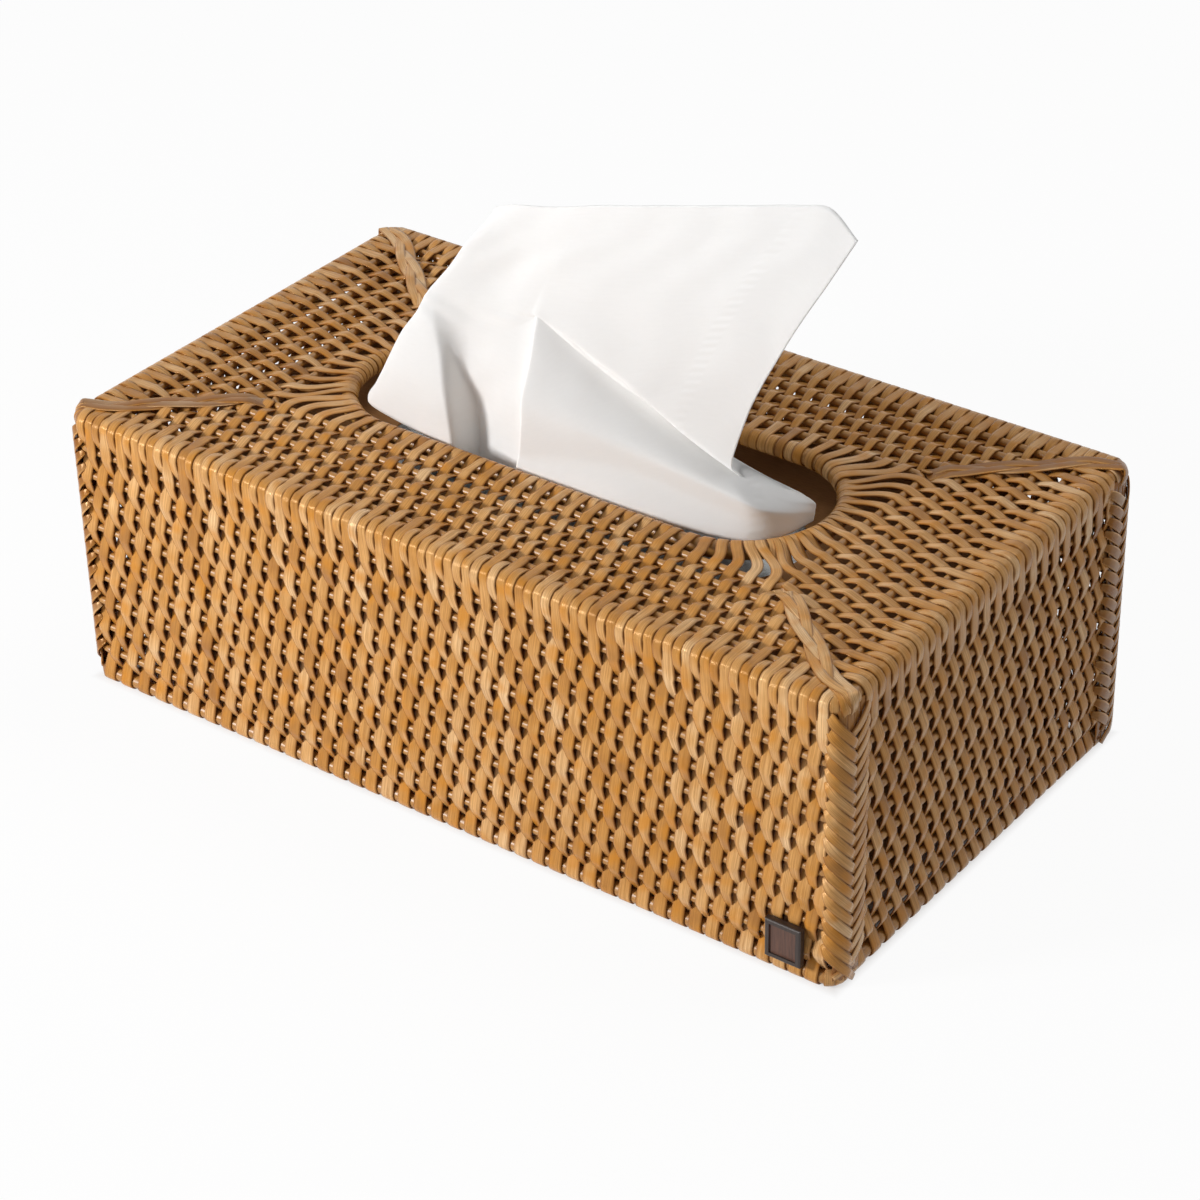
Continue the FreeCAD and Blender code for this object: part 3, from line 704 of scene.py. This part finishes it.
def hoop_turns(hoop, places, outer_width):
    """Turns of strip round a hoop at places round the front right corner: circles about the rod, each
    narrower on the inside of the bend in the ratio of the radii, and flat where it stands on the table."""
    depth, rod_height, rod_radius = front_rods[hoop]
    bend = CORNER_RADIUS - depth
    radius = rod_radius + STRIP_THICKNESS / 2 + STRIP_LIFT
    around, aside = np.meshgrid(np.linspace(-math.pi, math.pi, TURN_STEPS), places)
    plan, way = round_corner(aside, radius * np.cos(around) - depth)
    centre = np.concatenate([plan, (rod_height + radius * np.sin(around))[..., None]], axis=-1)
    outward = np.concatenate([np.cos(around)[..., None] * way, np.sin(around)[..., None]], axis=-1)
    width = outer_width * (bend + radius * np.cos(around)) / (bend + radius)
    turns = ribbon(centre, outward, width, STRIP_THICKNESS)
    turns[..., 2] = np.maximum(turns[..., 2], 0)
    return turns


def at_corner(rings, signs):
    """A shape of the front right corner, carried to another. Where it is mirrored its rings run
    backwards."""
    moved = rings * np.array([signs[0], signs[1], 1])
    return moved[:, :, ::-1] if signs[0] * signs[1] < 0 else moved


half_row = (front_rods[2, 1] - front_rods[1, 1]) / 2
plait_heights = front_rods[1, 1] + half_row * np.arange(2 * EDGE_NUMBER - 2)
plait = np.concatenate([plait_strands(LONG_SIDE_STRAND, LONG_SIDE_STRAND_WIDTHS, plait_heights),
                        plait_strands(END_STRAND, END_STRAND_WIDTHS, plait_heights)])
plait[..., 2] = np.maximum(plait[..., 2], 0)
# For each shape: its rings, how light it is, and the nodes that it stands for
corner_shapes = {
    # The core strips take the darkest tone: painted shade where they lie in under the plait.
    "corner_core": (core_strands(), 0.0, []),
    "corner_lacing": (plait, 0.55, ["corner_plait"]),
    "mitre_rope": (rope_strands(), 0.62, ["mitre_braid"]),
    "edge_turns": (hoop_turns(EDGE_NUMBER, EDGE_TURN_PLACES, EDGE_TURN_WIDTH), 0.7, ["corner_cap"]),
    "base_turns": (hoop_turns(0, BASE_TURN_PLACES, BASE_TURN_WIDTH), 0.6, []),
}
for corner_name, signs in CORNERS.items():
    for shape_name, (rings, mean_tone, nodes) in corner_shapes.items():
        tone = np.clip(random.normal(mean_tone, CORNER_TONE_SPREAD, len(rings)), 0, 1)
        strip_piece(f"{shape_name}_{corner_name}", at_corner(rings, signs), tone, strip_finish,
                    *[f"{node}_{corner_name}" for node in nodes])


# Tag
# A small tile of dark hardwood with a plain sunk panel, cut, oiled and glued on the front wall.

def oiled_hardwood():
    """Oiled dark hardwood: nearly black border, redder sunk panel, and fine upright grain about 0.5 mm
    apart."""
    grain_sizes = (0.5 * MM, 0.5 * MM, 6 * MM)
    panel_edge = 1.4 * MM
    low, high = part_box("tag")
    half = (high - low) / 2
    material, tree, shader = new_material("oiled_dark_hardwood")
    place = add_node(tree, "ShaderNodeTexCoord").outputs["Object"]
    grain = streaks(tree, place, grain_sizes, 4.0)
    offset = add_node(tree, "ShaderNodeVectorMath", {
        0: place, 1: tuple((low + high) / 2)}, operation="SUBTRACT")
    size = add_node(tree, "ShaderNodeVectorMath", {0: offset.outputs[0]}, operation="ABSOLUTE")
    parts = add_node(tree, "ShaderNodeSeparateXYZ", {0: size.outputs[0]})
    in_width = maths(tree, "LESS_THAN", parts.outputs["X"], half.x - panel_edge)
    in_height = maths(tree, "LESS_THAN", parts.outputs["Z"], half.z - panel_edge)
    border = mixed(tree, grain, srgb("#1C1411"), srgb("#3F2F27"))
    sunk = mixed(tree, grain, srgb("#301D15"), srgb("#6E4837"))
    colour = mixed(tree, maths(tree, "MULTIPLY", in_width, in_height), border, sunk)
    tree.links.new(colour, shader.inputs["Base Color"])
    emboss(tree, shader, grain, 0.5, 0.15 * MM)
    shader.inputs["Roughness"].default_value = 0.45
    return material


dress("tag", oiled_hardwood())


# Pulled tissue
# A two-ply paper tissue drawn up through the film and the opening. Its left side is folded to the back, its
# front lies on the opening's front hoop, a pleat runs down to its right edge, and its plies are crimped.

# Lines across the sheet from the stack to its top edge, each from the back of the left fold to the right edge
TISSUE_LINES = MM * np.array([
    [(-45, 1.6, 67.3), (-57, 0, 67.3), (-44, -1.6, 67.3), (-31, -1, 67.3), (-25, -1.3, 67.3),
     (-19, -1.5, 67.3), (-16, -1.6, 67.3), (10, -1.6, 67.3), (38, -1.6, 67.3), (48, -1.2, 67.3),
     (57, -0.5, 67.3)],
    [(-45, 1.6, 73), (-57, 0, 73), (-44, -1.6, 73), (-31, -1, 73), (-25, -1.3, 73), (-19, -1.5, 73),
     (-16, -1.6, 73), (10, -1.6, 73), (38, -1.6, 73), (48, -1.2, 73), (57, -0.5, 73)],
    [(-42, 0, 80), (-60, -10, 81), (-36, -13, 81), (-29, -7, 76), (-18, -9.5, 76.5), (-13, -12, 77),
     (-11, -13, 81), (18, -13, 81), (52, -10, 81), (60, -6, 81), (66, -2, 81)],
    [(-40, -4, 88), (-63, -20, 90), (-30, -24.7, 87.5), (-27, -15, 80.5), (-17, -18.2, 82),
     (-8.5, -21.5, 84.5), (-7, -24.6, 87.5), (26, -24.6, 87.5), (65.5, -19, 87.7), (72.4, -10.5, 88),
     (74.6, -2, 88.5)],
    [(-40.5, -4, 94), (-59.5, -20, 96.5), (-31, -24.6, 96), (-27.5, -14.5, 91.5), (-16.5, -17.5, 92),
     (-8, -20.5, 92.5), (-6.5, -23.4, 92.8), (25, -20.8, 97.5), (65, -18.4, 93.5), (72.3, -10.6, 91.2),
     (74.8, -2, 89.7)],
    [(-41, -4, 100), (-56, -20, 103), (-32.5, -24, 103), (-28, -14.5, 97.5), (-16, -17.8, 101.5),
     (-7, -20.5, 105), (-5, -23.8, 106), (24, -21.6, 104), (65, -19, 98), (72, -11, 94), (75, -2, 91)],
    [(-40, -4, 110), (-51, -18, 114), (-36, -21, 113), (-29.5, -16, 107), (-16, -16.8, 113.5),
     (-7, -17.3, 118), (-5, -19.5, 119), (20, -17, 111), (55, -13, 101.5), (70, -8.5, 96), (75, -1.5, 93)],
    [(-37, -4, 119), (-46, -16, 122), (-40, -17.8, 121), (-29.5, -15.2, 117), (-16.5, -14.8, 123.5),
     (-8, -13.6, 129), (-6, -14.6, 130), (17, -11.5, 117), (44, -8, 105.5), (60, -5.5, 99.5), (71, -3, 96)],
    [(-36, -4, 122), (-45, -15, 125), (-41, -16, 124.5), (-28.5, -14.5, 123), (-16.5, -14.4, 127),
     (-8.3, -13.8, 129.6), (-6, -14.4, 130.4), (19, -12.2, 118), (42, -10, 107), (55, -8.5, 101.5),
     (63, -7.5, 98)],
    [(-34, -4, 125), (-44, -14, 127), (-40.5, -14.7, 128), (-26, -13.8, 128.8), (-16, -13.9, 130),
     (-9, -14, 130.7), (-6, -14.5, 131), (23, -14.8, 120), (40, -14.2, 111), (49, -13.8, 107),
     (56, -13, 104)],
    [(-28, -4, 133), (-38, -12, 135), (-35, -13, 136.5), (-19, -12, 138), (-10, -12.5, 139.3),
     (-5.5, -12.8, 139.8), (-2, -13, 140), (28, -12.5, 134), (47, -12, 129), (54, -11.8, 124),
     (60, -11.5, 120)],
    [(-21, -4, 142), (-32, -11, 144), (-28, -12, 145.5), (-13, -11.5, 147), (-5, -12, 148.7),
     (-0.5, -12.2, 149.5), (3, -12.3, 150), (35, -11.5, 150), (57, -11, 151), (65, -10.7, 149),
     (72, -10.5, 145)],
    [(-16, -4, 149), (-28, -10, 149), (-23, -11, 151.5), (-8, -11, 155), (0, -11.2, 156.7),
     (4.5, -11.4, 157.5), (8, -11.5, 158), (41, -11, 164), (66, -10.5, 168), (75, -10.2, 168),
     (83, -10, 164)],
    [(-9, -4, 156), (-23, -9, 156), (-18, -10, 158.5), (-3, -10.5, 162), (5, -10.8, 164.5),
     (9.5, -10.9, 166), (13, -11, 167), (47, -10.5, 176), (73, -10, 183), (82, -9.8, 185), (91, -9.5, 178)],
])
TISSUE_THICKNESS = 0.3 * MM
TISSUE_ACROSS_STEPS = 180
TISSUE_ALONG_STEPS = 190
WAVE_LENGTH = 19 * MM
WAVE_HEIGHT = 0.12 * MM
WAVE_START = 95 * MM
WAVE_FULL = 125 * MM
WAVE_SWAY = 1.4
SWAY_LENGTH = 43 * MM


def tissue_grid():
    """The sheet as a grid [along, across], with each point's distance from the right edge and from the top
    edge. Soft waves, the sine of the distance across, stand out of it above the opening and sway by the
    sine of the distance along."""
    lines = smooth_through(TISSUE_LINES.transpose(1, 0, 2), TISSUE_ACROSS_STEPS).transpose(1, 0, 2)
    grid = smooth_through(lines, TISSUE_ALONG_STEPS)
    across = np.linalg.norm(np.diff(grid, axis=1), axis=-1)[:, ::-1].cumsum(axis=1)[:, ::-1]
    along = np.linalg.norm(np.diff(grid, axis=0), axis=-1)[::-1].cumsum(axis=0)[::-1]
    place = np.zeros_like(grid)
    place[:, :-1, 0] = across
    place[:-1, :, 1] = along
    free = eased(grid[..., 2], WAVE_START, WAVE_FULL)
    sway = WAVE_SWAY * np.sin(2 * math.pi * place[..., 1] / SWAY_LENGTH)
    phase = 2 * math.pi * place[..., 0] / WAVE_LENGTH + sway
    grid[..., 1] += WAVE_HEIGHT * free * np.sin(phase)
    return grid, place


def crimped_tissue():
    """Two-ply tissue paper: matt soft white with faint crepe, and a row of pressed dashes 2.9 mm apart that
    runs 18 mm inside the right edge and holds the plies together."""
    crimp_from_edge = 18 * MM
    crimp_half_length = 2.4 * MM
    crimp_fade_start = 0.6 * crimp_half_length
    crimp_pitch = 2.9 * MM
    crepe_sizes = (5 * MM, 0.9 * MM, 1.0)
    crepe_height = 0.25
    material, tree, shader = new_material("crimped_tissue_paper")
    place = add_node(tree, "ShaderNodeAttribute", attribute_name="sheet_place").outputs["Vector"]
    crepe = streaks(tree, place, crepe_sizes, 3.0)
    parts = add_node(tree, "ShaderNodeSeparateXYZ", {0: place})
    off_line = maths(tree, "ABSOLUTE", maths(tree, "SUBTRACT", parts.outputs["X"], crimp_from_edge))
    near_line = carried(tree, off_line, crimp_fade_start, crimp_half_length, 1.0, 0.0)
    dash = maths(tree, "SINE", maths(tree, "MULTIPLY", parts.outputs["Y"], 2 * math.pi / crimp_pitch))
    pressed = maths(tree, "MULTIPLY", dash, near_line)
    colour = mixed(tree, crepe, srgb("#F8F7F5"), srgb("#FCFBF9"))
    tree.links.new(colour, shader.inputs["Base Color"])
    emboss(tree, shader, maths(tree, "MULTIPLY_ADD", crepe, crepe_height, pressed), 0.22, 0.2 * MM)
    shader.inputs["Roughness"].default_value = 0.95
    shader.inputs["Specular IOR Level"].default_value = 0.2
    shader.inputs["Subsurface Weight"].default_value = 0.6
    shader.inputs["Subsurface Radius"].default_value = (1.0, 1.0, 1.0)
    shader.inputs["Subsurface Scale"].default_value = 1.5 * MM
    return material


tissue_points, tissue_place = tissue_grid()
index = np.arange(TISSUE_ALONG_STEPS * TISSUE_ACROSS_STEPS).reshape(TISSUE_ALONG_STEPS, TISSUE_ACROSS_STEPS)
face_points = [index[:-1, :-1], index[:-1, 1:], index[1:, 1:], index[1:, :-1]]
tissue_faces = np.stack(face_points, axis=-1).reshape(-1, 4)
tissue_mesh = bpy.data.meshes.new("drawn_tissue")
tissue_mesh.from_pydata(tissue_points.reshape(-1, 3).tolist(), [], tissue_faces.tolist())
tissue_mesh.attributes.new("sheet_place", "FLOAT_VECTOR", "POINT").data.foreach_set(
    "vector", tissue_place.astype(np.float32).ravel())
tissue_mesh.shade_smooth()
tissue_mesh.materials.append(crimped_tissue())
tissue = bpy.data.objects.new("drawn_tissue", tissue_mesh)
bpy.context.scene.collection.objects.link(tissue)
ply = tissue.modifiers.new("plies", "SOLIDIFY")
ply.thickness = TISSUE_THICKNESS
ply.offset = 0.0
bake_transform(tissue)
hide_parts("pulled_tissue")


# Studio
# A white paper floor, a soft lamp from the front left, a wide weak one overhead, and white light all round.

def shown_rays(tree):
    """1 for what is seen straight, in a reflection or through film, and 0 for light on its way to a
    surface."""
    path = add_node(tree, "ShaderNodeLightPath")
    seen = maths(tree, "MAXIMUM", path.outputs["Is Camera Ray"], path.outputs["Is Glossy Ray"])
    return maths(tree, "MAXIMUM", seen, path.outputs["Is Transmission Ray"])


def paper_floor():
    """White paper sweep: white to the eye and in reflections, with a faint shadow where the lamp is hidden.
    Under the cover it goes over softly to plain paper, so that no white shows between the strips; the darker
    patch left there is a painted soft shadow round the cover's footprint."""
    cover_half_length = 131 * MM
    cover_half_width = 74 * MM
    soft_edge = 9 * MM
    white_share = 0.94
    material, tree, shader = new_material("white_paper_sweep")
    place = add_node(tree, "ShaderNodeTexCoord").outputs["Object"]
    size = add_node(tree, "ShaderNodeVectorMath", {0: place}, operation="ABSOLUTE")
    parts = add_node(tree, "ShaderNodeSeparateXYZ", {0: size.outputs[0]})
    # Painted shadow: inside the cover's footprint the white glow fades out, leaving a soft darker patch.
    past_length = carried(tree, parts.outputs["X"], cover_half_length - soft_edge, cover_half_length)
    past_width = carried(tree, parts.outputs["Y"], cover_half_width - soft_edge, cover_half_width)
    outside = maths(tree, "MAXIMUM", past_length, past_width)
    share = maths(tree, "MULTIPLY", maths(tree, "MULTIPLY", shown_rays(tree), white_share), outside)
    white = add_node(tree, "ShaderNodeEmission", {"Color": srgb("#FFFFFF"), "Strength": 1.0})
    surface = add_node(tree, "ShaderNodeMixShader", {0: share, 1: shader.outputs[0], 2: white.outputs[0]})
    tree.links.new(surface.outputs[0], tree.nodes["Material Output"].inputs["Surface"])
    shader.inputs["Base Color"].default_value = srgb("#F4F4F4")
    shader.inputs["Roughness"].default_value = 0.9
    return material


floor_half = 6.0
floor_mesh = bpy.data.meshes.new("floor")
floor_mesh.from_pydata([(-floor_half, -floor_half, 0), (floor_half, -floor_half, 0),
                        (floor_half, floor_half, 0), (-floor_half, floor_half, 0)], [], [(0, 1, 2, 3)])
floor_mesh.materials.append(paper_floor())
floor = bpy.data.objects.new("floor", floor_mesh)
bpy.context.scene.collection.objects.link(floor)

WORLD_LIGHT = 0.19
world = bpy.data.worlds.new("studio")
bpy.context.scene.world = world
world.use_nodes = True
world_tree = world.node_tree
world_level = carried(world_tree, shown_rays(world_tree), 0.0, 1.0, WORLD_LIGHT, 1.0)
world_tree.nodes["Background"].inputs["Color"].default_value = srgb("#FFFFFF")
world_tree.links.new(world_level, world_tree.nodes["Background"].inputs["Strength"])

lamp_distance = 1.3
# Each lamp's name, the way to it, its size in metres and its power in watts
lamps = [("key_lamp", Vector((-0.52, -0.76, 0.38)), 0.34, 13.9),
         ("overhead_lamp", Vector((0.22, 0.4, 0.89)), 0.7, 4.7)]
for lamp_name, lamp_way, lamp_size, lamp_watts in lamps:
    lamp = bpy.data.lights.new(lamp_name, "AREA")
    lamp.shape = "DISK"
    lamp.size = lamp_size
    lamp.energy = lamp_watts
    lamp_holder = bpy.data.objects.new(lamp_name, lamp)
    lamp_holder.location = lamp_way.normalized() * lamp_distance
    lamp_holder.rotation_euler = lamp_way.to_track_quat("Z", "Y").to_euler()
    bpy.context.scene.collection.objects.link(lamp_holder)

camera_azimuth = math.radians(36.98)
camera_elevation = math.radians(32.25)
camera_roll = math.radians(-1.15)
camera_distance = 0.9621
camera_target = Vector((0.0101, -0.0108, 0.0447))
level_reach = math.cos(camera_elevation)
camera_back = Vector((math.sin(camera_azimuth) * level_reach, -math.cos(camera_azimuth) * level_reach,
                      math.sin(camera_elevation)))
camera = bpy.data.cameras.new("camera")
camera.sensor_width = 36.0
camera.lens = 103.43
camera_holder = bpy.data.objects.new("camera", camera)
camera_holder.location = camera_target + camera_back * camera_distance
camera_turn = (-camera_back).to_track_quat("-Z", "Y") @ Quaternion((0, 0, 1), camera_roll)
camera_holder.rotation_euler = camera_turn.to_euler()
bpy.context.scene.collection.objects.link(camera_holder)
bpy.context.scene.camera = camera_holder
bpy.context.scene.view_settings.view_transform = "Standard"
